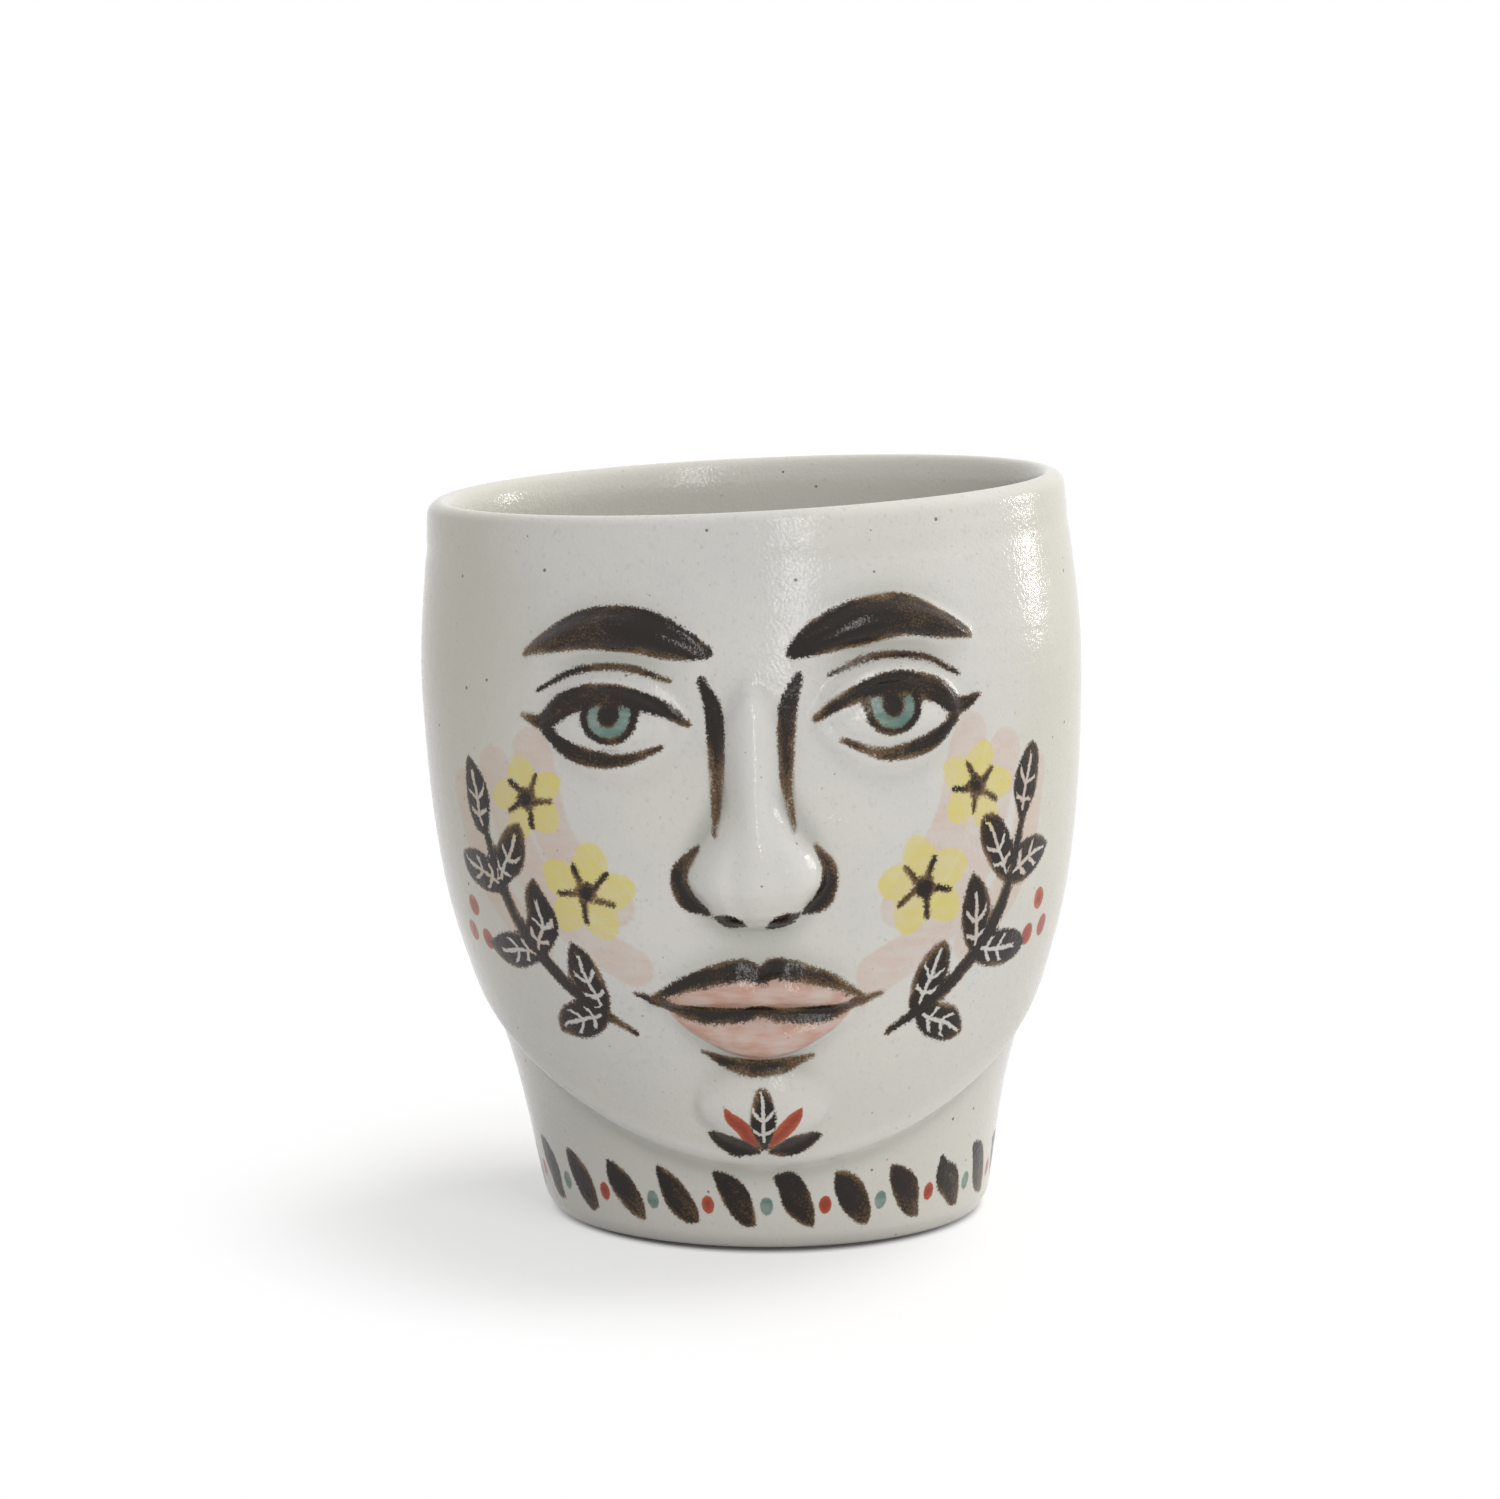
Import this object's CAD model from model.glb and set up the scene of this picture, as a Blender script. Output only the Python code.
# Looks of the face cup: a glazed skin with brushwork, a bare clay foot, a white table and soft light.
# Sizes are in millimetres until a mesh is made. +Z is up, the face looks along -Y, and angles start there.
import math
from functools import cached_property

import bpy
import numpy as np
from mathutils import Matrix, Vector
from mathutils.bvhtree import BVHTree


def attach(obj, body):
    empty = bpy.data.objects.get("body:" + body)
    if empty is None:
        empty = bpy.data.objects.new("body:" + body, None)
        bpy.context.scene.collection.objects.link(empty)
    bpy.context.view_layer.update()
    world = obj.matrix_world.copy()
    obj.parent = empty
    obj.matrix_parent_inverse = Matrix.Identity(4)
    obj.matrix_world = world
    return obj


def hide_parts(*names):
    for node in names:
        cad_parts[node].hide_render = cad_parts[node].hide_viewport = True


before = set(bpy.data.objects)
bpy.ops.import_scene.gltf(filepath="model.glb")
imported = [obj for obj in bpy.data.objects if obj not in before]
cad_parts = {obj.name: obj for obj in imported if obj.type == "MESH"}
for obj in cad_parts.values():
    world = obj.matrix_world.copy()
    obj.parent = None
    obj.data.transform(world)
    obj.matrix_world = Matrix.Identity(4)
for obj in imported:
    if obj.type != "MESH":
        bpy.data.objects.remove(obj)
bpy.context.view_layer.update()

MM = 0.001
rng = np.random.default_rng(11)

# The thrown tumbler and how it was altered by hand, with the values of the CAD source
CUP_HEIGHT = 100.0
RIM_WIDTH = 86.6
RIM_DEPTH = 82.4
TEMPLE_WIDTH = 88.6
TEMPLE_HEIGHT = 77.0
CHEEK_WIDTH = 84.0
CHEEK_HEIGHT = 46.0
NECK_WIDTH = 69.0
NECK_HEIGHT = 20.0
FOOT_WIDTH = 60.5
WALL = 4.0
BASE_THICKNESS = 5.5
BEVEL_HEIGHT = 2.6
BEVEL_DEPTH = 1.4
COIL_TOP = 10.5
COIL_REACH = 5.0
AXIS_LEAN = -3.1
RIM_SLOPE = 0.049
FACE_PUSH = 2.6
FACE_FULL_ANGLE = math.radians(50)
FACE_END_ANGLE = math.radians(110)
CHEEK_PUSH = 1.5
CHEEK_REACH = 12.0
CHEEK_SPACING = 52.0
SOCKET_PRESS = 1.6
SOCKET_REACH = 8.0
JAW_EDGE = 3.4
JAW_CORNER_HEIGHT = 37.0
CHIN_HEIGHT = 12.4

# Levels and sizes of the face, with the values of the CAD source
LIP_TO_BROW = 18.0
BROW_LENGTH = 25.0
BROW_BREADTH = 5.0
BROW_ARCH = 3.4
EYE_SPACING = 37.0
EYE_LENGTH = 18.0
EYE_OPENING = 8.0
EYE_ROUNDNESS = 0.8
UPPER_LID_BREADTH = 3.2
LID_TO_BROW = 2.5
SLIP_SEAM = 0.3
NOSE_WING_BREADTH = 18.5
MOUTH_WIDTH = 32.0
UPPER_LIP_BREADTH = 5.4
LOWER_LIP_WIDTH = 26.5
LOWER_LIP_BREADTH = 6.6
FACE_THIRD = (CUP_HEIGHT - LIP_TO_BROW - CHIN_HEIGHT) / 2
BROW_LEVEL = CUP_HEIGHT - LIP_TO_BROW
NOSE_LEVEL = BROW_LEVEL - FACE_THIRD
MOUTH_LEVEL = NOSE_LEVEL - FACE_THIRD / 3
LID_TOP = BROW_LEVEL + BROW_ARCH - BROW_BREADTH / 2 - LID_TO_BROW
EYE_LEVEL = LID_TOP - UPPER_LID_BREADTH - SLIP_SEAM - EYE_OPENING / 2

# The skin's grid: more columns at the front, and finer rows on the outside
COLUMNS = 420
FRONT_DENSITY = 0.46
OUTER_ROW = 0.6
INNER_ROW = 2.2
BEVEL_ROWS = 6
LIP_ROWS = 7
SHOULDER_ROWS = 12
COVE_ROWS = 8
FLOOR_ROWS = 8
GLAZE_LINE = 0.6
LIP_SHOULDER = 4.8

# Luted clay: how far out and round it is looked for, and how widely glaze melts it in and pools beside it
CLAY_REACH = 12.0
CLAY_ANGLE = math.radians(75)
MELT_PASSES = 3
POOL_PASSES = 40

# Handwork. A wobble has a depth, waves in a turn, a climb for each radian and a start in radians,
# and a throwing line has a depth, a pitch and the way it winds
WOBBLES = ((0.22, 2, 31.0, 0.7), (0.14, 3, -23.0, 0.0), (0.08, 5, 17.0, 2.1))
WOBBLE_INSET = 0.25
THROWING_LINES = ((0.012, 3.3, 1), (0.01, 1.7, -1))
GROOVE_HEIGHT = 93.5
GROOVE_DEPTH = 0.14
GROOVE_REACH = 1.2
GROOVE_CHANGE = 0.4
FINGER_RING = 9.0
FINGER_DEPTH = 0.12

# The bare foot, which stands a little inside the glaze line
FOOT_COLUMNS = 120
FOOT_INSET = 1.2
FOOT_ROUNDING = 0.3
FOOT_GAP = 0.02
STANDING_RING = 1.8
UNDER_HOLLOW = 0.03
UNDER_ROWS = (8.0, 20.0)
FOOT_TOP_ROW = 12.0

STATIONS = np.array([
    (0, FOOT_WIDTH / 2),
    (NECK_HEIGHT, NECK_WIDTH / 2),
    (CHEEK_HEIGHT, CHEEK_WIDTH / 2),
    (TEMPLE_HEIGHT, TEMPLE_WIDTH / 2),
    (CUP_HEIGHT, RIM_WIDTH / 2),
])
FACE_RADIUS = TEMPLE_WIDTH / 2
WORKED = ("base_slab", "body_wall", "seam_coil")
LUTED = sorted(set(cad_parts) - set(WORKED))


def ease(value, low, high):
    """0 below low and 1 above high, smooth between."""
    share = np.clip((value - low) / (high - low), 0, 1)
    return share * share * (3 - 2 * share)


def thrown_radius(z):
    """Outer radius of the tumbler as thrown: a smooth curve through its stations."""
    heights, radii = STATIONS.T
    secant = np.diff(radii) / np.diff(heights)
    slope = np.concatenate([secant[:1], (secant[1:] + secant[:-1]) / 2, secant[-1:]])
    i = np.clip(np.searchsorted(heights, z, side="right") - 1, 0, len(secant) - 1)
    gap = heights[i + 1] - heights[i]
    p = (z - heights[i]) / gap
    ends = radii[i] * (1 + 2 * p) * (1 - p) ** 2 + radii[i + 1] * p * p * (3 - 2 * p)
    return ends + gap * (slope[i] * p * (1 - p) ** 2 - slope[i + 1] * p * p * (1 - p))


def swelling(angle, z, spacing, level, reach):
    """A soft round swelling on both sides of the face, 1 at its middle."""
    across = np.abs(angle) * FACE_RADIUS - spacing / 2
    return np.exp(-(across**2 + (z - level) ** 2) / (2 * reach**2))


def face_push(angle, z):
    """How far the wall stands out from the thrown tumbler: the face, its cheeks and its eye sockets."""
    jaw = CHIN_HEIGHT + (JAW_CORNER_HEIGHT - CHIN_HEIGHT) * (1 - np.cos(angle))
    front = 1 - ease(np.abs(angle), FACE_FULL_ANGLE, FACE_END_ANGLE)
    above_jaw = ease(z, jaw - JAW_EDGE / 2, jaw + JAW_EDGE / 2)
    below_rim = 1 - ease(z, EYE_LEVEL, CUP_HEIGHT)
    cheeks = CHEEK_PUSH * swelling(angle, z, CHEEK_SPACING, NOSE_LEVEL, CHEEK_REACH)
    sockets = SOCKET_PRESS * swelling(angle, z, EYE_SPACING, EYE_LEVEL, SOCKET_REACH)
    return front * above_jaw * (FACE_PUSH * below_rim + cheeks) - sockets


def hand_marks(angle, z):
    """The small unevenness of handwork, within the CAD's outline: a slow wobble, throwing lines,
    and a groove by the lip."""
    wobble = -WOBBLE_INSET
    for depth, waves, climb, start in WOBBLES:
        wobble = wobble + depth * np.sin(waves * angle + z / climb + start)
    lines = 0.0
    for depth, pitch, way in THROWING_LINES:
        lines = lines + depth * np.sin(2 * math.pi * z / pitch + way * angle)
    groove = GROOVE_DEPTH * np.exp(-(((z - GROOVE_HEIGHT) / GROOVE_REACH) ** 2))
    uneven = 1 + GROOVE_CHANGE * np.sin(3 * angle + 1)
    return wobble * ease(z, 0, NECK_HEIGHT) + lines - groove * uneven


def alter(radius, angle, z):
    """Carries points of the thrown tumbler to where they lie on the altered cup.
    The middle of the floor stays as it was thrown."""
    oval = 1 / np.hypot(np.sin(angle), np.cos(angle) * (RIM_WIDTH / RIM_DEPTH))
    worked = face_push(angle, z) + hand_marks(angle, z)
    reach = radius * oval + worked * ease(radius, 0, FOOT_WIDTH / 4)
    across = reach * np.sin(angle)
    rise = RIM_SLOPE * across * ease(z, NECK_HEIGHT, CUP_HEIGHT)
    return np.stack([across + AXIS_LEAN * z / CUP_HEIGHT, -reach * np.cos(angle), z + rise], axis=-1)


def skin_profile():
    """Radius and height of the skin's rows, from the glaze line over the lip to the floor,
    and how many of the first rows are outside."""
    lip_radius = WALL / 2
    lip_foot = CUP_HEIGHT - lip_radius
    lip_middle = thrown_radius(lip_foot) - lip_radius
    bevel = np.linspace(GLAZE_LINE, BEVEL_HEIGHT, BEVEL_ROWS)
    share = bevel / BEVEL_HEIGHT
    rounded = (share + np.sqrt(1 - (1 - share) ** 2)) / 2
    foot = thrown_radius(0) - BEVEL_DEPTH
    outside = np.arange(BEVEL_HEIGHT + OUTER_ROW, lip_foot, OUTER_ROW)
    turn = np.linspace(0, math.pi / 2, LIP_ROWS, endpoint=False)
    dip = np.linspace(0, math.pi / 2, SHOULDER_ROWS)
    shoulder = CUP_HEIGHT - LIP_SHOULDER * (1 - np.cos(dip))
    inside = np.arange(shoulder[-1] - INNER_ROW, COIL_TOP, -INNER_ROW)
    fall = np.linspace(0, math.pi / 2, COVE_ROWS)
    cove = thrown_radius(COIL_TOP) - WALL - COIL_REACH * (1 - np.cos(fall))
    floor = np.linspace(cove[-1], 0, FLOOR_ROWS, endpoint=False)[1:]
    radius = np.concatenate([
        foot + (thrown_radius(BEVEL_HEIGHT) - foot) * rounded,
        thrown_radius(outside),
        lip_middle + lip_radius * np.cos(turn),
        lip_middle + (thrown_radius(shoulder) - thrown_radius(lip_foot) - lip_radius) * np.sin(dip),
        thrown_radius(inside) - WALL + FINGER_DEPTH * np.sin(2 * math.pi * inside / FINGER_RING),
        cove,
        floor,
    ])
    z = np.concatenate([
        bevel,
        outside,
        lip_foot + lip_radius * np.sin(turn),
        shoulder,
        inside,
        COIL_TOP - (COIL_TOP - BASE_THICKNESS) * np.sin(fall),
        np.full(len(floor), BASE_THICKNESS),
    ])
    return radius, z, len(bevel) + len(outside) + LIP_ROWS


def soften(grid, passes):
    """Blurs a grid of rows and columns, whose last column meets its first."""
    for _ in range(passes):
        grid = (np.roll(grid, 1, 1) + 2 * grid + np.roll(grid, -1, 1)) / 4
        padded = np.vstack([grid[:1], grid, grid[-1:]])
        grid = (padded[:-2] + 2 * grid + padded[2:]) / 4
    return grid


def luted_clay(points, normals, worked):
    """Height of the luted pieces over the wall, met by rays on the CAD's own solids."""
    corners, faces = [], []
    for name in LUTED:
        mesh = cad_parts[name].data
        start = len(corners)
        corners += [vertex.co / MM for vertex in mesh.vertices]
        faces += [[start + i for i in face.vertices] for face in mesh.polygons]
    clay = BVHTree.FromPolygons(corners, faces)
    height = np.zeros(worked.shape)
    for row, column in zip(*np.nonzero(worked)):
        normal = Vector(normals[row, column])
        met = clay.ray_cast(Vector(points[row, column]) + CLAY_REACH * normal, -normal, CLAY_REACH)
        if met[0] is not None:
            height[row, column] = CLAY_REACH - met[3]
    return height


def unit_normals(points):
    """Unit normals of a grid of points, outwards."""
    around = np.roll(points, -1, 1) - np.roll(points, 1, 1)
    normal = np.cross(around, np.gradient(points, axis=0))
    return normal / np.linalg.norm(normal, axis=-1, keepdims=True)


# Brushwork

COLOURS = ("pink", "yellow", "rose", "brown", "red", "teal")
FAR = 4.0
STROKE_STEPS = 8
LEAST_BREADTH = 0.2
BREADTH_HAND = 0.4
BRISTLE_SHIFT = 1.9
BRISTLE_STARTS = 5
IRIS_RADIUS = 3.5
IRIS_RISE = 1.9
IRIS_RING = 3.6
RING_BREADTH = 1.1
PUPIL_RADIUS = 1.6
LIP_FULLNESS = 0.85
LIP_BOW = 1.0
PRESS = ((0.0, 0.3), (0.25, 0.8), (0.5, 1.0), (0.78, 0.7), (1.0, 0.1))
PETALS = 5
TICK = ((0.26, 0.9), (0.62, 0.8))
FLOWER_MIDDLE = 1.5
BERRY_RADIUS = 1.5
BLUSH_BREADTH = 5.6
LEAF_BREADTH = 5.2
LEAF_LEANS = (-52, 46)
TIP_LEAF = (9.8, 4.8)
BORDER_DABS = 24
DAB_SIZE = (9.6, 5.2)
DAB_HEADING = -46
DAB_TOP = 10.8
DAB_SHIFT = 3.4
DOT_RADIUS = 1.3
DOT_LEVEL = 6.6


def smooth_line(points):
    """A smooth line through points of any number of values."""
    points = np.asarray(points, float)
    ends = np.vstack([2 * points[0] - points[1], points, 2 * points[-1] - points[-2]])
    a, b, c, d = (ends[i : i + len(points) - 1, None] for i in range(4))
    t = np.linspace(0, 1, STROKE_STEPS, endpoint=False)[None, :, None]
    bend = (2 * a - 5 * b + 4 * c - d) * t**2 + (3 * b - a - 3 * c + d) * t**3
    line = b + ((c - a) * t + bend) / 2
    return np.vstack([line.reshape(-1, points.shape[1]), points[-1]])


class Painting:
    """Brushwork on the outside: how far every vertex is from the edge of each colour, below 0 in the paint.
    For brown each vertex also holds its place in the nearest pull of the brush: how far along and aside
    it lies, how wet the brush is, half the breadth there, and how far up a veined leaf it is.
    Places are [across, up]: distance round the face from its middle, and height before the lip's slope."""

    def __init__(self, across, up):
        self.across, self.up = across, up
        self.edge = {colour: np.full(across.shape, FAR) for colour in COLOURS}
        self.pull = np.stack([np.zeros(across.shape)] * 4 + [np.full(across.shape, -FAR)])
        self.pulls = 0

    def around(self, middle):
        """Distance across of every vertex, counted the short way round from a middle."""
        turn = 2 * math.pi * FACE_RADIUS
        return middle + (self.across - middle + turn / 2) % turn - turn / 2

    def fresh_bristles(self):
        """Where along the bristles' pattern of streaks the next pull begins."""
        self.pulls += 1
        return BRISTLE_SHIFT * (self.pulls % BRISTLE_STARTS)

    def lay(self, colour, near, edge, along, aside, wet, half, up_leaf):
        """Adds paint where it reaches further out than what is there."""
        held = self.edge[colour][near]
        nearer = edge < held
        self.edge[colour][near] = np.where(nearer, edge, held)
        if colour == "brown":
            along = along + self.fresh_bristles()
            pull = np.stack(np.broadcast_arrays(along, aside, wet, half, up_leaf))
            self.pull[:, near] = np.where(nearer, pull, self.pull[:, near])

    def stroke(self, colour, points, load=(1.0, 1.0), hand=0.15, veined=False):
        """One pull of the brush through [across, up, breadth] points, by a hand that strays a little.
        Load is how wet the brush is, first and last."""
        points = np.asarray(points, float)
        points = points + rng.normal(0, hand, points.shape) * (1, 1, BREADTH_HAND)
        line = smooth_line(points)
        line[:, 2] = np.maximum(line[:, 2], LEAST_BREADTH)
        across = self.around(line[:, 0].mean())
        reach = FAR + line[:, 2].max() / 2
        near = (across > line[:, 0].min() - reach) & (across < line[:, 0].max() + reach)
        near &= (self.up > line[:, 1].min() - reach) & (self.up < line[:, 1].max() + reach)
        start, step = line[:-1], np.diff(line, axis=0)
        length = np.hypot(step[:, 0], step[:, 1])
        right = across[near][:, None] - start[:, 0]
        above = self.up[near][:, None] - start[:, 1]
        share = np.clip((right * step[:, 0] + above * step[:, 1]) / length**2, 0, 1)
        away = np.hypot(right - share * step[:, 0], above - share * step[:, 1])
        half = (start[:, 2] + share * step[:, 2]) / 2
        edge = away - half
        best = (np.arange(len(edge)), edge.argmin(axis=1))
        side = np.sign(step[best[1], 0] * above[best] - step[best[1], 1] * right[best])
        along = (np.cumsum(length) - length)[best[1]] + share[best] * length[best[1]]
        wet = load[0] + (load[1] - load[0]) * along / length.sum()
        up_leaf = along if veined else -FAR
        self.lay(colour, near, edge[best], along, side * away[best], wet, half[best], up_leaf)

    def disc(self, colour, middle, radius, within=None, breadth=None):
        """A round dab, or a ring of some breadth, cut off where within is above 0."""
        across = self.around(middle[0]) - middle[0]
        up = self.up - middle[1]
        away = np.hypot(across, up)
        aside, half = (away, radius) if breadth is None else (away - radius, breadth / 2)
        edge = np.abs(aside) - half
        if within is not None:
            edge = np.maximum(edge, within)
        near = edge < FAR
        turned = np.arctan2(up, across)[near] * radius
        self.lay(colour, near, edge[near], turned, aside[near], 1.0, half, -FAR)


def eye_half(offset):
    """Half the height of the almond between the lids, at an offset from the middle of the eye."""
    return EYE_OPENING / 2 * np.maximum(0, 1 - (offset / (EYE_LENGTH / 2)) ** 2) ** EYE_ROUNDNESS


def paint_eye(painting, side):
    """Brow, lid lines, iris and pupil of one eye. Each line is a list of places along it and breadths."""
    middle = EYE_SPACING / 2

    def out(offset, up, breadth):
        """A point of a stroke, at an offset outwards from the middle of the eye."""
        return side * (middle + offset), up, breadth

    brow = [(0.0, 2.0), (0.14, 4.6), (0.36, 5.9), (0.6, 5.4), (0.82, 3.6), (1.0, 1.2)]
    painting.stroke("brown", [
        out(BROW_LENGTH * (s - 0.5), BROW_LEVEL + 0.5 + BROW_ARCH * math.sin(math.pi * s), breadth)
        for s, breadth in brow
    ], load=(1.0, 0.6))
    upper = [(-10.2, 1.0), (-6.5, 2.3), (0, 3.0), (6, 3.2), (9.6, 2.3)]
    painting.stroke("brown", [
        *(out(x, EYE_LEVEL + eye_half(x) + 0.7, breadth) for x, breadth in upper),
        out(13.2, EYE_LEVEL + 1.7, 0.8),
    ], load=(0.95, 0.7))
    lower = [(-7, 0.7), (-1, 1.8), (5, 2.5), (9.6, 1.4)]
    painting.stroke("brown", [
        out(x, EYE_LEVEL - eye_half(x) - 0.6, breadth) for x, breadth in lower
    ], load=(0.6, 1.0))
    crease = [(-8, 0.6), (-2, 0.9), (5, 0.9), (10.5, 0.6)]
    painting.stroke("brown", [
        out(x, LID_TOP + 0.6 - 0.03 * x * x, breadth) for x, breadth in crease
    ], load=(0.9, 1.1), hand=0.08)
    offset = painting.around(side * middle) - side * middle
    almond = np.abs(painting.up - EYE_LEVEL) - eye_half(offset)
    iris = (side * middle, EYE_LEVEL + IRIS_RISE)
    painting.disc("teal", iris, IRIS_RADIUS, within=almond)
    painting.disc("brown", iris, IRIS_RING, within=almond, breadth=RING_BREADTH)
    painting.disc("brown", iris, PUPIL_RADIUS, within=almond)


def paint_nose(painting, side):
    """A dry line down the bridge, a curve round the wing, and a dab for the nostril."""
    wing = NOSE_WING_BREADTH / 2
    painting.stroke("brown", [
        (side * 6.4, BROW_LEVEL - 3.0, 1.2),
        (side * 4.7, EYE_LEVEL + 2, 2.4),
        (side * 4.4, EYE_LEVEL - 6, 2.1),
        (side * 4.9, EYE_LEVEL - 13, 0.8),
    ], load=(1.0, 0.4))
    painting.stroke("brown", [
        (side * (wing - 1.6), NOSE_LEVEL + 10.5, 0.7),
        (side * (wing + 0.5), NOSE_LEVEL + 7, 2.3),
        (side * (wing - 0.4), NOSE_LEVEL + 3.2, 2.8),
        (side * (wing - 2.8), NOSE_LEVEL + 1.7, 1.2),
    ], load=(0.55, 1.0))
    painting.stroke("brown", [
        (side * 1.8, NOSE_LEVEL + 0.2, 1.0),
        (side * 3.5, NOSE_LEVEL + 0.9, 2.4),
        (side * 5.3, NOSE_LEVEL + 1.1, 1.1),
    ])


def paint_mouth(painting):
    """Rose lips with a dark outline and parting, and a dry stroke in the hollow under them."""
    swell = np.array([0.03, 0.2, 0.41, 0.5, 0.59, 0.8, 0.97])
    full = np.sin(math.pi * swell) ** LIP_FULLNESS
    upper = UPPER_LIP_BREADTH * full
    upper[len(upper) // 2] -= LIP_BOW
    lower = LOWER_LIP_BREADTH * full
    upper_place = MOUTH_WIDTH * (swell - 0.5)
    lower_place = LOWER_LIP_WIDTH * (swell - 0.5)
    painting.stroke("rose", np.stack([upper_place, MOUTH_LEVEL + upper / 2, upper], 1), hand=0.05)
    painting.stroke("rose", np.stack([lower_place, MOUTH_LEVEL - lower / 2, lower], 1), hand=0.05)
    breadths = np.array([0.7, 1.5, 2.2, 1.7, 2.2, 1.5, 0.7])
    outline = np.stack([upper_place, MOUTH_LEVEL + 0.5 + upper, breadths], 1)
    painting.stroke("brown", outline, load=(1.0, 0.65))
    parting = [(-0.55, 1.6, 0.7), (-0.3, 0.0, 2.3), (-0.1, -0.3, 1.8), (0, 0.3, 2.1)]
    mirrored = [(-share, up, breadth) for share, up, breadth in parting[-2::-1]]
    painting.stroke("brown", [
        (MOUTH_WIDTH * share, MOUTH_LEVEL + up, breadth) for share, up, breadth in parting + mirrored
    ], load=(1.0, 0.75), hand=0.06)
    hollow = MOUTH_LEVEL - LOWER_LIP_BREADTH - 1.2
    under = [(-9, 1.4, 0.6), (-4, 0, 2.2), (3, -0.2, 2.4), (8, 1.0, 0.8)]
    painting.stroke("brown", [(x, hollow + up, breadth) for x, up, breadth in under], load=(1.0, 0.45))


def headed(heading):
    """A step of one millimetre, [across, up], at a heading in degrees up from the right."""
    return np.array([math.cos(math.radians(heading)), math.sin(math.radians(heading))])


def leaf(painting, colour, start, heading, length, breadth, load=(1.0, 0.7), veined=False):
    """A leaf made by pressing the brush down and lifting it."""
    points = [(*(start + headed(heading) * length * s), breadth * press) for s, press in PRESS]
    painting.stroke(colour, points, load, hand=0.05 * breadth, veined=veined)


def flower(painting, middle, reach, turn):
    """Yellow petals round a brown middle, with brown ticks between them. Turn is in degrees."""
    middle = np.array(middle)
    for i in range(PETALS):
        petal = turn + 360 / PETALS * i
        tick = headed(petal + 180 / PETALS) * reach
        leaf(painting, "yellow", middle + headed(petal), petal, reach - 1, 0.8 * reach)
        painting.stroke("brown", [(*(middle + tick * s), breadth) for s, breadth in TICK])
    painting.disc("brown", middle, FLOWER_MIDDLE)


def paint_cheek(painting, side):
    """A sprig of leaves with yellow flowers and red berries, over strokes of blush."""
    stem = np.array([(19, 31.5, 1.0), (27.5, 37, 2.1), (35, 46.5, 2.2), (39, 58, 1.2)])
    for shift, trim in ((-8.5, 1), (-2.5, 0), (3.5, 1)):
        blush = stem[trim:] * (1, 1, 0) + (shift, 7.5 - 0.5 * shift, BLUSH_BREADTH)
        painting.stroke("pink", blush * (side, 1, 1), hand=0.4)
    flower(painting, (side * 22.5, 51), 6.2, 90 + side * 10)
    flower(painting, (side * 31, 63), 5.4, 90 - side * 14)
    for across, up in ((45, 46.5), (47.5, 42.5), (43, 42.0)):
        painting.disc("red", (side * across, up), BERRY_RADIUS)
    painting.stroke("brown", stem * (side, 1, 1), load=(0.8, 1.0))
    line = smooth_line(stem)
    for share, length in ((0.2, 9.6), (0.5, 10.6), (0.82, 9.4)):
        at = int(share * (len(line) - 1))
        step = line[at + 1] - line[at - 1]
        heading = math.degrees(math.atan2(step[1], step[0]))
        for lean in LEAF_LEANS:
            turned = heading + lean if side > 0 else 180 - heading - lean
            leaf(painting, "brown", line[at, :2] * (side, 1), turned, length, LEAF_BREADTH, veined=True)
    leaf(painting, "brown", line[-1, :2] * (side, 1), 90 - side * 16, *TIP_LEAF, veined=True)


def paint_chin(painting):
    """A palmette that opens upwards from the jaw line, with its upright leaf veined."""
    foot = np.array([0.0, CHIN_HEIGHT + 2.6])
    fan = ((90, "brown", 9.2, 4.0), (50, "red", 8.4, 2.5), (130, "red", 8.4, 2.5),
           (14, "brown", 8.6, 3.4), (166, "brown", 8.6, 3.4))
    for heading, colour, length, breadth in fan:
        leaf(painting, colour, foot + 1.2 * headed(heading), heading, length, breadth, veined=heading == 90)


def paint_border(painting):
    """Slanted dabs round the foot, with red and green dots between them."""
    spacing = 2 * math.pi * FACE_RADIUS / BORDER_DABS
    for i in range(BORDER_DABS):
        place = (i - BORDER_DABS / 2 + 0.5) * spacing
        start = np.array([place - DAB_SHIFT, DAB_TOP])
        leaf(painting, "brown", start, DAB_HEADING, *DAB_SIZE, load=(1.05, 0.5))
        painting.disc(("red", "teal")[i % 2], (place + spacing / 2, DOT_LEVEL), DOT_RADIUS)


def paint_cup(across, up):
    """All the brushwork, as named vectors of three values for every vertex."""
    painting = Painting(across, up)
    for side in (-1, 1):
        paint_cheek(painting, side)
        paint_eye(painting, side)
        paint_nose(painting, side)
    paint_mouth(painting)
    paint_chin(painting)
    paint_border(painting)
    edge = painting.edge
    along, aside, wet, half, up_leaf = painting.pull
    return {
        "washes": np.stack([edge["pink"], edge["yellow"], edge["rose"]], -1),
        "lines": np.stack([edge["brown"], edge["red"], edge["teal"]], -1),
        "brush": np.stack([along, aside, wet], -1),
        "leaves": np.stack([half, up_leaf, np.zeros_like(half)], -1),
    }


# Meshes

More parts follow.
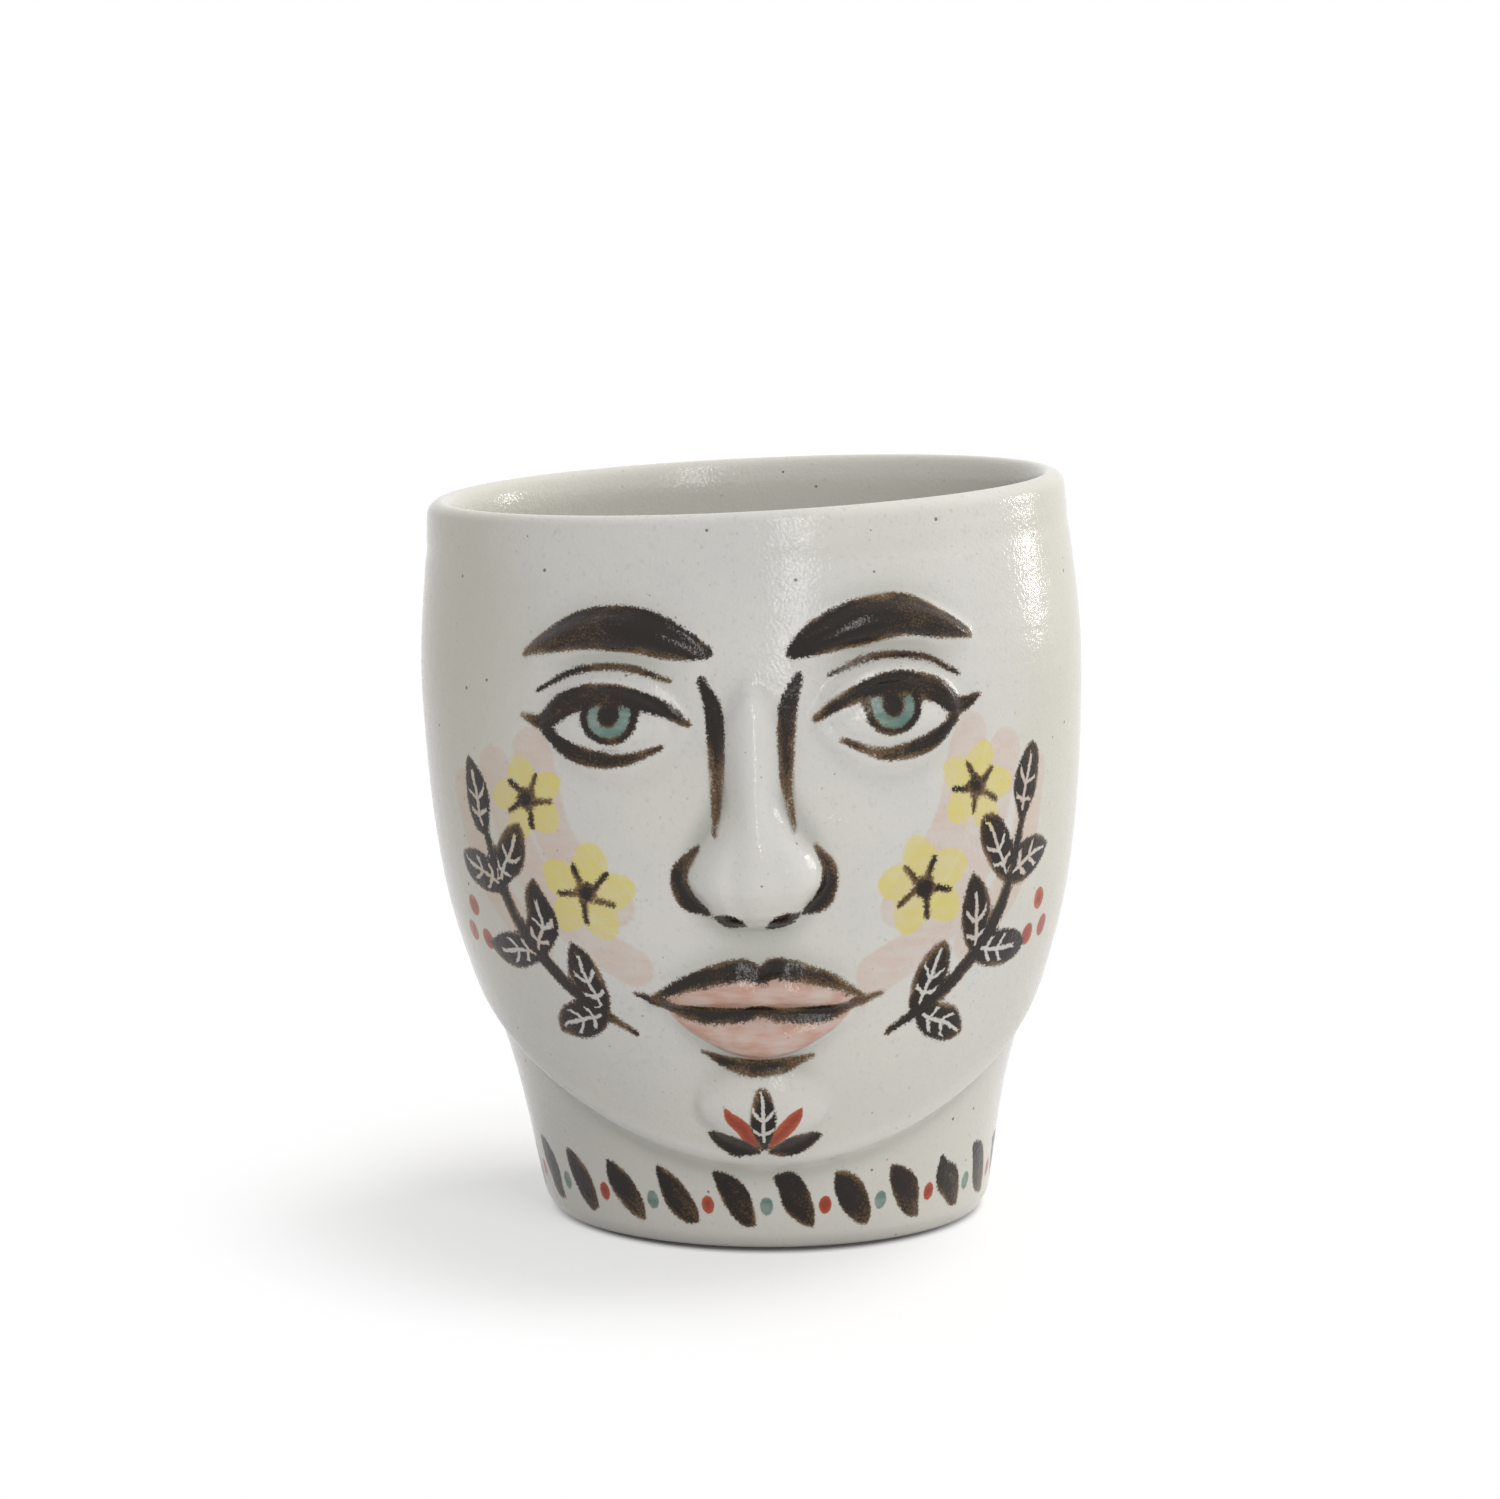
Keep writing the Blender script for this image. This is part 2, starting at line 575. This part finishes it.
def turned_mesh(name, points, first_pole, last_pole, angle):
    """A closed skin over rows of points, with a pole at each end, and a map of its own unrolled surface."""
    rows, columns = points.shape[:2]
    grid = np.arange(rows * columns).reshape(rows, columns)
    beside = np.roll(grid, -1, 1)
    quads = np.stack([grid[:-1], beside[:-1], beside[1:], grid[1:]], -1).reshape(-1, 4)
    first, last = rows * columns, rows * columns + 1
    caps = [(first, b, a) for a, b in zip(grid[0], beside[0])]
    caps += [(last, a, b) for a, b in zip(grid[-1], beside[-1])]
    corners = np.vstack([points.reshape(-1, 3), first_pole, last_pole]) * MM
    mesh = bpy.data.meshes.new(name)
    mesh.from_pydata(corners.tolist(), [], quads.tolist() + caps)
    mesh.polygons.foreach_set("use_smooth", np.ones(len(mesh.polygons), bool))

    # Around the cup is across the map, and along the section is up it
    steps = np.linalg.norm(np.diff(points, axis=0), axis=-1).mean(1)
    climb = np.concatenate([[0], np.cumsum(steps)])
    before = np.linalg.norm(points[0] - first_pole, axis=-1).mean()
    beyond = np.linalg.norm(points[-1] - last_pole, axis=-1).mean()
    climb = (climb + before) / (climb[-1] + before + beyond)
    turn = (angle - angle[0]) / (2 * math.pi)
    after = np.append(turn[1:], 1.0)
    middle = (turn + after) / 2
    low, high = climb[:-1, None], climb[1:, None]
    squares = np.broadcast_arrays(turn, low, after, low, after, high, turn, high)
    first_fan = np.broadcast_arrays(middle, 0.0, after, climb[0], turn, climb[0])
    last_fan = np.broadcast_arrays(middle, 1.0, turn, climb[-1], after, climb[-1])
    unrolled = np.concatenate([np.stack(part, -1).ravel() for part in (squares, first_fan, last_fan)])
    mesh.uv_layers.new(name="OFBake").data.foreach_set("uv", unrolled)
    mesh.update()
    return mesh


def add_vectors(mesh, name, values, fill):
    """Stores three values on each vertex, with a fill for the vertices past the last given."""
    given = values.reshape(-1, 3)
    stored = np.full((len(mesh.vertices), 3), fill, np.float32)
    stored[: len(given)] = given
    mesh.attributes.new(name, "FLOAT_VECTOR", "POINT").data.foreach_set("vector", stored.ravel())


def add_piece(mesh, material, nodes):
    """Makes an object of a mesh that stands for CAD nodes and rides on the cup."""
    mesh.materials.append(material)
    piece = bpy.data.objects.new(mesh.name, mesh)
    bpy.context.scene.collection.objects.link(piece)
    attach(piece, "root")
    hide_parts(*nodes)


def glazed_cup(material):
    """The whole glazed surface, with the luted pieces melted into the wall under the glaze."""
    turn = np.linspace(-math.pi, math.pi, COLUMNS, endpoint=False)
    angle = turn - FRONT_DENSITY * np.sin(turn)
    radius, z, outer = skin_profile()
    points = alter(radius[:, None], angle[None, :], z[:, None])
    wall = points[:outer]
    up = np.repeat(z[:outer, None], COLUMNS, 1)
    around = np.repeat(angle[None, :], outer, 0)
    normals = unit_normals(wall)
    worked = (np.abs(around) < CLAY_ANGLE) & (up > CHIN_HEIGHT) & (up < CUP_HEIGHT - WALL)
    clay = soften(luted_clay(wall, normals, worked), MELT_PASSES)
    points[:outer] = wall + normals * clay[..., None]
    floor_middle = alter(0.0, 0.0, BASE_THICKNESS)
    mesh = turned_mesh("glazed_cup", points, (0, 0, GLAZE_LINE), floor_middle, angle)
    for name, values in paint_cup((around * FACE_RADIUS).ravel(), up.ravel()).items():
        add_vectors(mesh, name, values, FAR)

    # How deep a hollow or, below 0, how high an edge each vertex is on, and whether it is inside
    relief = clay + face_push(around, up)
    glaze = np.zeros(points.shape)
    glaze[:outer, :, 0] = np.clip(soften(relief, POOL_PASSES) - relief, -1, 1)
    glaze[outer:, :, 1] = 1
    add_vectors(mesh, "glaze", glaze, (0, 1, 0))
    add_piece(mesh, material, [*LUTED, "body_wall", "seam_coil"])


def bare_foot(material):
    """The unglazed underside, a little hollow inside the ring that it stands on."""
    turn = np.linspace(-math.pi, math.pi, FOOT_COLUMNS, endpoint=False)
    rim = thrown_radius(0) - BEVEL_DEPTH - FOOT_INSET
    top = GLAZE_LINE - FOOT_GAP
    section = [(row, UNDER_HOLLOW) for row in UNDER_ROWS]
    section += [(rim - STANDING_RING, 0), (rim - 2 * FOOT_ROUNDING, 0)]
    section += [(rim - 2 * FOOT_ROUNDING / 3, FOOT_ROUNDING / 3), (rim, FOOT_ROUNDING)]
    section += [(rim, top), (FOOT_TOP_ROW, top)]
    radius, z = np.array(section).T
    points = alter(radius[:, None], turn[None, :], z[:, None])
    mesh = turned_mesh("bare_foot", points, (0, 0, UNDER_HOLLOW), (0, 0, top), turn)
    add_piece(mesh, material, ["base_slab"])


# Materials

class Nodes:
    """The nodes of a material or a world, written as formulas."""

    def __init__(self, owner, shader="Principled BSDF"):
        owner.use_nodes = True
        self.owner = owner
        self.tree = owner.node_tree
        self.shader = self.tree.nodes[shader]

    @cached_property
    def place(self):
        """Where a point of the surface is, in metres."""
        return self.add("TexCoord").outputs["Object"]

    def add(self, kind, inputs=None, **settings):
        """Adds a node. Inputs are values or sockets of other nodes, by name or number."""
        made = self.tree.nodes.new("ShaderNode" + kind)
        for name, value in settings.items():
            setattr(made, name, value)
        for key, value in (inputs or {}).items():
            self.put(made, key, value)
        return made

    def put(self, node, key, value):
        """Gives a node's input a value or a link."""
        if isinstance(value, bpy.types.NodeSocket):
            self.tree.links.new(value, node.inputs[key])
        else:
            node.inputs[key].default_value = value

    def shade(self, inputs):
        """Gives the shader its inputs by name, and gives back what it shades."""
        for key, value in inputs.items():
            self.put(self.shader, key, value)
        return self.owner

    def math(self, operation, a, b=0.0):
        """The result of an operation on one or two values."""
        return self.add("Math", {0: a, 1: b}, operation=operation).outputs[0]

    def scaled(self, value, factor):
        """A value times a factor."""
        return self.math("MULTIPLY", value, factor)

    def total(self, first, *rest):
        """The sum of values."""
        for value in rest:
            first = self.math("ADD", first, value)
        return first

    def ease(self, value, low, high):
        """0 at low and 1 at high, smooth between; low may be the greater."""
        inputs = {"Value": value, "From Min": low, "From Max": high}
        return self.add("MapRange", inputs, interpolation_type="SMOOTHSTEP").outputs[0]

    def between(self, value, low, high):
        """Low where value is 0 and high where it is 1."""
        return self.add("MapRange", {"Value": value, "To Min": low, "To Max": high}).outputs[0]

    def mix(self, share, a, b):
        """Colour a where share is 0 and b where it is 1."""
        made = self.add("Mix", data_type="RGBA")
        for key, value in ((0, share), (6, a), (7, b)):
            self.put(made, key, (*value, 1) if isinstance(value, tuple) else value)
        return made.outputs[2]

    def noise(self, size, detail, where=None):
        """Noise about 0, with features of a size in millimetres."""
        inputs = {"Vector": where or self.place, "Scale": 1 / (size * MM), "Detail": detail}
        return self.math("SUBTRACT", self.add("TexNoise", inputs).outputs[0], 0.5)

    def vector(self, name):
        """The three values that a mesh stores on its vertices under a name."""
        stored = self.add("Attribute", attribute_name=name).outputs["Vector"]
        return self.add("SeparateXYZ", {0: stored}).outputs

    def bump(self, height):
        """The normal of a surface with heights in millimetres."""
        return self.add("Bump", {"Height": height, "Strength": 1.0, "Distance": MM}).outputs[0]

    def seen(self):
        """1 for rays from the camera and for those that gloss and glass send on, else 0."""
        path = self.add("LightPath").outputs
        seen = path["Is Camera Ray"]
        for kind in ("Is Glossy Ray", "Is Transmission Ray"):
            seen = self.math("MAXIMUM", seen, path[kind])
        return seen


GLAZE_LIGHT = (0.68, 0.665, 0.63)
GLAZE_SHADE = (0.635, 0.627, 0.60)
GLAZE_WARM = (0.70, 0.68, 0.61)
GLAZE_FLECK = (0.50, 0.51, 0.51)
GLAZE_FLANK = (0.60, 0.572, 0.485)
GLAZE_LOW = (0.62, 0.595, 0.53)
GLAZE_INSIDE = (0.68, 0.67, 0.61)
GLAZE_POOL = (0.47, 0.48, 0.43)
GLAZE_FOOT = (0.25, 0.25, 0.21)
GLAZE_EDGE = (0.72, 0.705, 0.675)
SPECK = (0.075, 0.06, 0.05)
PINK = (0.62, 0.42, 0.33)
YELLOW = (0.69, 0.60, 0.165)
ROSE = (0.53, 0.29, 0.215)
TEAL = (0.062, 0.17, 0.135)
RED = (0.30, 0.018, 0.002)
RED_THIN = (0.47, 0.10, 0.02)
BROWN = (0.011, 0.0045, 0.0015)
BROWN_THIN = (0.15, 0.085, 0.034)

# Sizes of the glaze's features. A speck has a cell, and the least and greatest radius in it
GRAIN_SIZE = 0.3
FLECK_SIZE = 0.8
MOTTLE_SIZE = 1.3
CLOUD_SIZE = 22.0
WARMTH_SIZE = 31.0
BOLD_SPECKS = (3.6, 0.06, 0.34)
FAINT_SPECKS = (1.7, 0.06, 0.32)

# Its gloss: the roughness where it is clearest and dullest, and what paint adds to it.
# Orange peel has a size and a height, and paint stands up between two heights
GLAZE_IOR = 1.39
GLOSS = (0.06, 0.13)
PAINT_DULLNESS = 0.05
COARSE_PEEL = (1.8, 0.06)
FINE_PEEL = (0.45, 0.048)
PAINT_GRAIN_SIZE = 0.5
PAINT_HEIGHTS = (0.006, 0.066)

# How far outside the vertices' own edge of a stroke its sharp cut may lie, and a leaf's scratched veins
STROKE_SLACK = 0.12
VEIN_BREADTH = 0.55
VEIN_PITCH = 2.2
VEIN_SLANT = 0.7
VEIN_REACH = 1.75
RIB_ENDS = (0.9, 8.2)
SIDE_VEIN_ENDS = (0.5 * VEIN_PITCH, 2.5 * VEIN_PITCH)

# Streaks are drawn out along a pull: long ones by the bristles, shorter ones by the flow of the paint.
# Those in the washes are level
BRISTLE_SIZE = 0.55
BRISTLE_STRETCH = 0.14
FLOW_SIZE = 3.5
FLOW_STRETCH = 0.5
WASH_STREAK_SIZE = 1.0
WASH_STRETCH = (0.25, 0.25, 1.0)
WASH_PATCH_SIZE = 5.0
RIM_PATCH_SIZE = 6.0


def specks(nodes, cell, least, most):
    """1 in round specks, one in each cell of a size, with radii from least to most."""
    spots = nodes.add("TexVoronoi", {"Vector": nodes.place, "Scale": 1 / (cell * MM)})
    pick = nodes.add("SeparateColor", {0: spots.outputs["Color"]}).outputs[0]
    radius = nodes.between(pick, least / cell, most / cell)
    return nodes.ease(nodes.math("DIVIDE", spots.outputs["Distance"], radius), 1.0, 0.45)


def bare_glaze(nodes, cloud):
    """Colour of the glaze: cloudy, flecked and specked, warmer inside and on the flanks, paler on edges,
    and greener in hollows and at the foot."""
    hollow, inside, _ = nodes.vector("glaze")
    sideways, _, height = nodes.add("SeparateXYZ", {0: nodes.place}).outputs
    height = nodes.scaled(height, 1 / MM)
    off_middle = nodes.math("ABSOLUTE", nodes.scaled(sideways, 1 / MM))
    cloudy = nodes.total(cloud, nodes.scaled(nodes.noise(MOTTLE_SIZE, 3), 0.3))
    colour = nodes.mix(nodes.ease(cloudy, -0.2, 0.2), GLAZE_LIGHT, GLAZE_SHADE)
    tints = (
        (nodes.ease(nodes.noise(WARMTH_SIZE, 2), 0.0, 0.22), 0.6, GLAZE_WARM),
        (nodes.ease(nodes.noise(FLECK_SIZE, 4), 0.05, 0.24), 0.4, GLAZE_FLECK),
        (nodes.ease(nodes.total(off_middle, nodes.scaled(cloud, 14)), 25, 42), 0.8, GLAZE_FLANK),
        (nodes.ease(height, 36, 12), 0.5, GLAZE_LOW),
        (inside, 0.85, GLAZE_INSIDE),
        (nodes.ease(hollow, 0.05, 1.0), 0.8, GLAZE_POOL),
        (nodes.ease(height, 3.0, 0.6), 0.3, GLAZE_FOOT),
        (nodes.ease(hollow, -0.15, -0.7), 0.5, GLAZE_EDGE),
        (specks(nodes, *BOLD_SPECKS), 0.8, SPECK),
        (specks(nodes, *FAINT_SPECKS), 0.16, SPECK),
    )
    for share, strength, tint in tints:
        colour = nodes.mix(nodes.scaled(share, strength), colour, tint)
    return colour


def cover(nodes, grain, edge, soft, rough):
    """1 in the paint and 0 outside, with a grainy edge."""
    return nodes.ease(nodes.total(edge, nodes.scaled(grain, rough)), soft, -soft)


def washed(nodes, colour, grain):
    """The colour with the flat paints laid over it, each streaked and thinner here and there."""
    pink, yellow, rose = nodes.vector("washes")
    _, red, teal = nodes.vector("lines")
    level = nodes.add("VectorMath", {0: nodes.place, 1: WASH_STRETCH}, operation="MULTIPLY").outputs[0]
    streaks = nodes.noise(WASH_STREAK_SIZE, 3, level)
    patchy = nodes.ease(nodes.total(streaks, nodes.noise(WASH_PATCH_SIZE, 2)), -0.3, 0.35)
    paints = (
        (cover(nodes, grain, pink, 0.3, 0.7), 0.28, 0.55, PINK),
        (cover(nodes, grain, yellow, 0.2, 0.5), 0.6, 0.9, YELLOW),
        (cover(nodes, grain, rose, 0.3, 0.6), 0.5, 1.0, ROSE),
        (cover(nodes, grain, teal, 0.15, 0.4), 0.65, 0.95, TEAL),
    )
    for covered, thin, full, paint in paints:
        share = nodes.math("MULTIPLY", covered, nodes.between(patchy, thin, full))
        colour = nodes.mix(share, colour, paint)
    deep = nodes.ease(nodes.total(red, nodes.scaled(patchy, -0.7)), 0.1, -1.5)
    share = nodes.scaled(cover(nodes, grain, red, 0.12, 0.35), 0.97)
    return nodes.mix(share, colour, nodes.mix(deep, RED_THIN, RED))


def veins(nodes, aside, up_leaf):
    """Distance from the edge of what is scratched through a leaf, below 0 in it: a rib up the middle,
    and pairs of side veins that slant away from it."""
    off_rib = nodes.math("ABSOLUTE", nodes.total(aside, nodes.scaled(nodes.noise(2.2, 2), 0.7)))
    unsteady = nodes.scaled(nodes.noise(2.6, 2), 0.8)
    slanted = nodes.total(up_leaf, nodes.scaled(off_rib, -VEIN_SLANT), unsteady)
    off_vein = nodes.math("PINGPONG", slanted, VEIN_PITCH / 2)
    past_reach = nodes.total(off_rib, -VEIN_REACH)
    furrows = []
    for distance, (low, high) in ((off_rib, RIB_ENDS), (off_vein, SIDE_VEIN_ENDS)):
        furrow = nodes.math("MAXIMUM", nodes.total(distance, -VEIN_BREADTH / 2), past_reach)
        furrow = nodes.math("MAXIMUM", furrow, nodes.math("SUBTRACT", low, slanted))
        furrows.append(nodes.math("MAXIMUM", furrow, nodes.total(slanted, -high)))
    return nodes.math("MINIMUM", *furrows)


def brushed(nodes, colour, grain):
    """The colour with the brown brushwork over it, and where that lies. Bristles leave streaks along a pull,
    its dry end breaks up into grains, veins are scratched through it, and the glaze draws a faint halo."""
    stored, _, _ = nodes.vector("lines")
    along, aside, load = nodes.vector("brush")
    half, up_leaf, _ = nodes.vector("leaves")

    # A thin stroke is cut sharp at its breadth, between vertices too, but not far from their own edge
    cut = nodes.math("SUBTRACT", nodes.math("ABSOLUTE", aside), half)
    edge = nodes.math("MAXIMUM", cut, nodes.total(stored, -STROKE_SLACK))

    across = nodes.scaled(aside, MM)
    bristles, flow = (
        nodes.add("CombineXYZ", {0: nodes.scaled(along, stretch * MM), 1: across}).outputs[0]
        for stretch in (BRISTLE_STRETCH, FLOW_STRETCH)
    )
    rim = nodes.total(edge, nodes.scaled(nodes.noise(RIM_PATCH_SIZE, 1), 3.0), -0.3)
    thick = nodes.total(
        nodes.math("MULTIPLY", load, nodes.between(nodes.ease(rim, 0.25, -1.25), 0.42, 1.15)),
        nodes.scaled(nodes.noise(BRISTLE_SIZE, 3, bristles), 0.7),
        nodes.scaled(nodes.noise(FLOW_SIZE, 2, flow), 0.9),
        nodes.scaled(grain, 1.2),
    )
    scratched = cover(nodes, grain, veins(nodes, aside, up_leaf), 0.1, 0.6)
    kept = nodes.math("SUBTRACT", 1.0, nodes.scaled(scratched, 0.92))
    halo = nodes.math("MULTIPLY", nodes.scaled(cover(nodes, grain, stored, 0.4, 0.8), 0.35), kept)
    laid = nodes.math("MULTIPLY", cover(nodes, grain, edge, 0.16, 1.3), nodes.ease(thick, 0.0, 0.4))
    laid = nodes.math("MULTIPLY", laid, kept)
    brown = nodes.mix(nodes.ease(thick, 0.25, 0.95), BROWN_THIN, BROWN)
    return nodes.mix(laid, nodes.mix(halo, colour, BROWN_THIN), brown), laid


def glaze_material():
    """Pale glaze over speckled stoneware, with brushwork under it: glossy, a little duller on heavy paint,
    and dimpled like orange peel."""
    nodes = Nodes(bpy.data.materials.new("glaze"))
    grain = nodes.noise(GRAIN_SIZE, 3)
    cloud = nodes.noise(CLOUD_SIZE, 3)
    colour = washed(nodes, bare_glaze(nodes, cloud), grain)
    colour, laid = brushed(nodes, colour, grain)
    dull = nodes.between(nodes.ease(cloud, -0.2, 0.2), *GLOSS)
    peel = [nodes.scaled(nodes.noise(size, 2), height) for size, height in (COARSE_PEEL, FINE_PEEL)]
    paint = nodes.math("MULTIPLY", laid, nodes.between(nodes.noise(PAINT_GRAIN_SIZE, 2), *PAINT_HEIGHTS))
    return nodes.shade({
        "Base Color": colour,
        "Roughness": nodes.total(dull, nodes.scaled(laid, PAINT_DULLNESS)),
        "Normal": nodes.bump(nodes.total(*peel, paint)),
        "IOR": GLAZE_IOR,
    })


# The cutting wire was drawn round a point, and left arcs at a pitch
WIRE_PULL = (-13.0, 17.0, 0.0)
WIRE_PITCH = 2.2
CLAY_PALE = (0.62, 0.55, 0.45)
CLAY_WARM = (0.52, 0.44, 0.34)
CLAY_DARK = (0.34, 0.26, 0.18)
CLAY_IRON = (0.12, 0.075, 0.05)
CLAY_ROUGHNESS = 0.85


def clay_material():
    """Bare fired stoneware: dry, finely grained, with the arcs of the cutting wire and a few iron spots."""
    nodes = Nodes(bpy.data.materials.new("bare_clay"))
    grain = nodes.noise(0.4, 4)
    cloud = nodes.noise(14, 3)
    pulled_from = {0: nodes.place, 1: Vector(WIRE_PULL) * MM}
    reach = nodes.add("VectorMath", pulled_from, operation="DISTANCE").outputs["Value"]
    shifted = nodes.total(nodes.scaled(reach, 2 * math.pi / (WIRE_PITCH * MM)), nodes.scaled(cloud, 9))
    arcs = nodes.math("SINE", nodes.total(shifted, nodes.scaled(nodes.noise(3.5, 3), 4.0)))
    colour = nodes.mix(nodes.ease(cloud, -0.2, 0.2), CLAY_PALE, CLAY_WARM)
    colour = nodes.mix(nodes.scaled(nodes.ease(arcs, 0.2, 1.0), 0.12), colour, CLAY_DARK)
    colour = nodes.mix(nodes.ease(grain, 0.1, 0.26), colour, CLAY_DARK)
    colour = nodes.mix(nodes.ease(nodes.noise(1.1, 2), 0.2, 0.27), colour, CLAY_IRON)
    height = nodes.total(nodes.scaled(grain, 0.1), nodes.scaled(arcs, -0.05))
    return nodes.shade({"Base Color": colour, "Normal": nodes.bump(height), "Roughness": CLAY_ROUGHNESS})


# Stage

TABLE_RADIUS = 3000.0
TABLE_SIDES = 96
TABLE_ALBEDO = 0.8
TABLE_GLOW = 0.48

# Distances from the middle of the table: where its glow sets in by the foot, and where the shadow fades out
FOOT_SHADOW = (27.5, 30.3)
FADE_TO_WHITE = (45.0, 85.0)

# The camera, fitted to the photograph, and the light
SENSOR = 36.0
PHOTO_WIDTH = 1500
FOCAL_PIXELS = 4598
CAMERA_AT = (-2.4, -624.0, 158.3)
CAMERA_PITCH = 0.151
ROOM_LIGHT = 0.44
WHITE = (1.0, 1.0, 1.0)
WARM_WHITE = (1.0, 0.975, 0.92)
WINDOW_WHITE = (1.0, 0.99, 0.96)


def table_material():
    """A white table that keeps the cup's shadow, is dark right under the foot, and fades to plain white."""
    nodes = Nodes(bpy.data.materials.new("table"))
    seen = nodes.seen()
    out = nodes.add("VectorMath", {0: nodes.place}, operation="LENGTH").outputs["Value"]
    out = nodes.scaled(out, 1 / MM)
    far = nodes.ease(out, *FADE_TO_WHITE)
    near_glow = nodes.scaled(nodes.ease(out, *FOOT_SHADOW), TABLE_GLOW)
    shadowed = nodes.between(far, 1 - TABLE_GLOW, 0.0)
    return nodes.shade({
        "Base Color": nodes.between(seen, TABLE_ALBEDO, shadowed),
        "Roughness": 1.0,
        "Specular IOR Level": 0.0,
        "Emission Color": (*WHITE, 1.0),
        "Emission Strength": nodes.math("MULTIPLY", seen, nodes.between(far, near_glow, 1.0)),
    })


def add_table():
    """A plain round table top under the foot."""
    turn = np.linspace(0, 2 * math.pi, TABLE_SIDES, endpoint=False)
    ring = np.stack([np.cos(turn), np.sin(turn), np.zeros(TABLE_SIDES)], -1) * TABLE_RADIUS * MM
    mesh = bpy.data.meshes.new("table")
    mesh.from_pydata(ring.tolist(), [], [range(TABLE_SIDES)])
    mesh.materials.append(table_material())
    table = bpy.data.objects.new("table", mesh)
    bpy.context.scene.collection.objects.link(table)


def add_camera():
    """The photograph's view: a long lens a little above the lip."""
    lens = bpy.data.cameras.new("camera")
    lens.sensor_width = SENSOR
    lens.lens = FOCAL_PIXELS * SENSOR / PHOTO_WIDTH
    camera = bpy.data.objects.new("camera", lens)
    camera.location = Vector(CAMERA_AT) * MM
    camera.rotation_euler = (math.pi / 2 - CAMERA_PITCH, 0, 0)
    bpy.context.scene.collection.objects.link(camera)
    bpy.context.scene.camera = camera


def softbox(name, place, aim, size, watts, tint, mirrored=True):
    """An area light, turned to the cup's axis at a height, its aim. Gloss shows it only if it is mirrored."""
    light = bpy.data.lights.new(name, "AREA")
    light.shape = "RECTANGLE"
    light.size, light.size_y = (side * MM for side in size)
    light.energy = watts
    light.color = tint
    lamp = bpy.data.objects.new(name, light)
    lamp.location = Vector(place) * MM
    lamp.visible_glossy = mirrored
    lamp.rotation_euler = (Vector((0, 0, aim)) - Vector(place)).to_track_quat("-Z", "Y").to_euler()
    bpy.context.scene.collection.objects.link(lamp)


def add_light():
    """A high key from the right and behind, a strip in front, a broad fill, a window on the right,
    and a white room."""
    softbox("key", place=(460, 280, 900), aim=40, size=(550, 550), watts=5.8, tint=WARM_WHITE,
            mirrored=False)
    softbox("front", place=(310, -930, 620), aim=60, size=(100, 1200), watts=3.7, tint=WHITE)
    softbox("fill", place=(380, -1100, 500), aim=50, size=(1100, 1100), watts=0.85, tint=WHITE)
    softbox("window", place=(900, 360, 260), aim=80, size=(100, 220), watts=1.0, tint=WINDOW_WHITE)
    room = Nodes(bpy.data.worlds.new("room"), "Background")
    strength = room.between(room.seen(), ROOM_LIGHT, 1.0)
    bpy.context.scene.world = room.shade({"Color": (*WHITE, 1.0), "Strength": strength})


add_camera()
glazed_cup(glaze_material())
bare_foot(clay_material())
add_table()
add_light()
bpy.context.scene.view_settings.view_transform = "Standard"
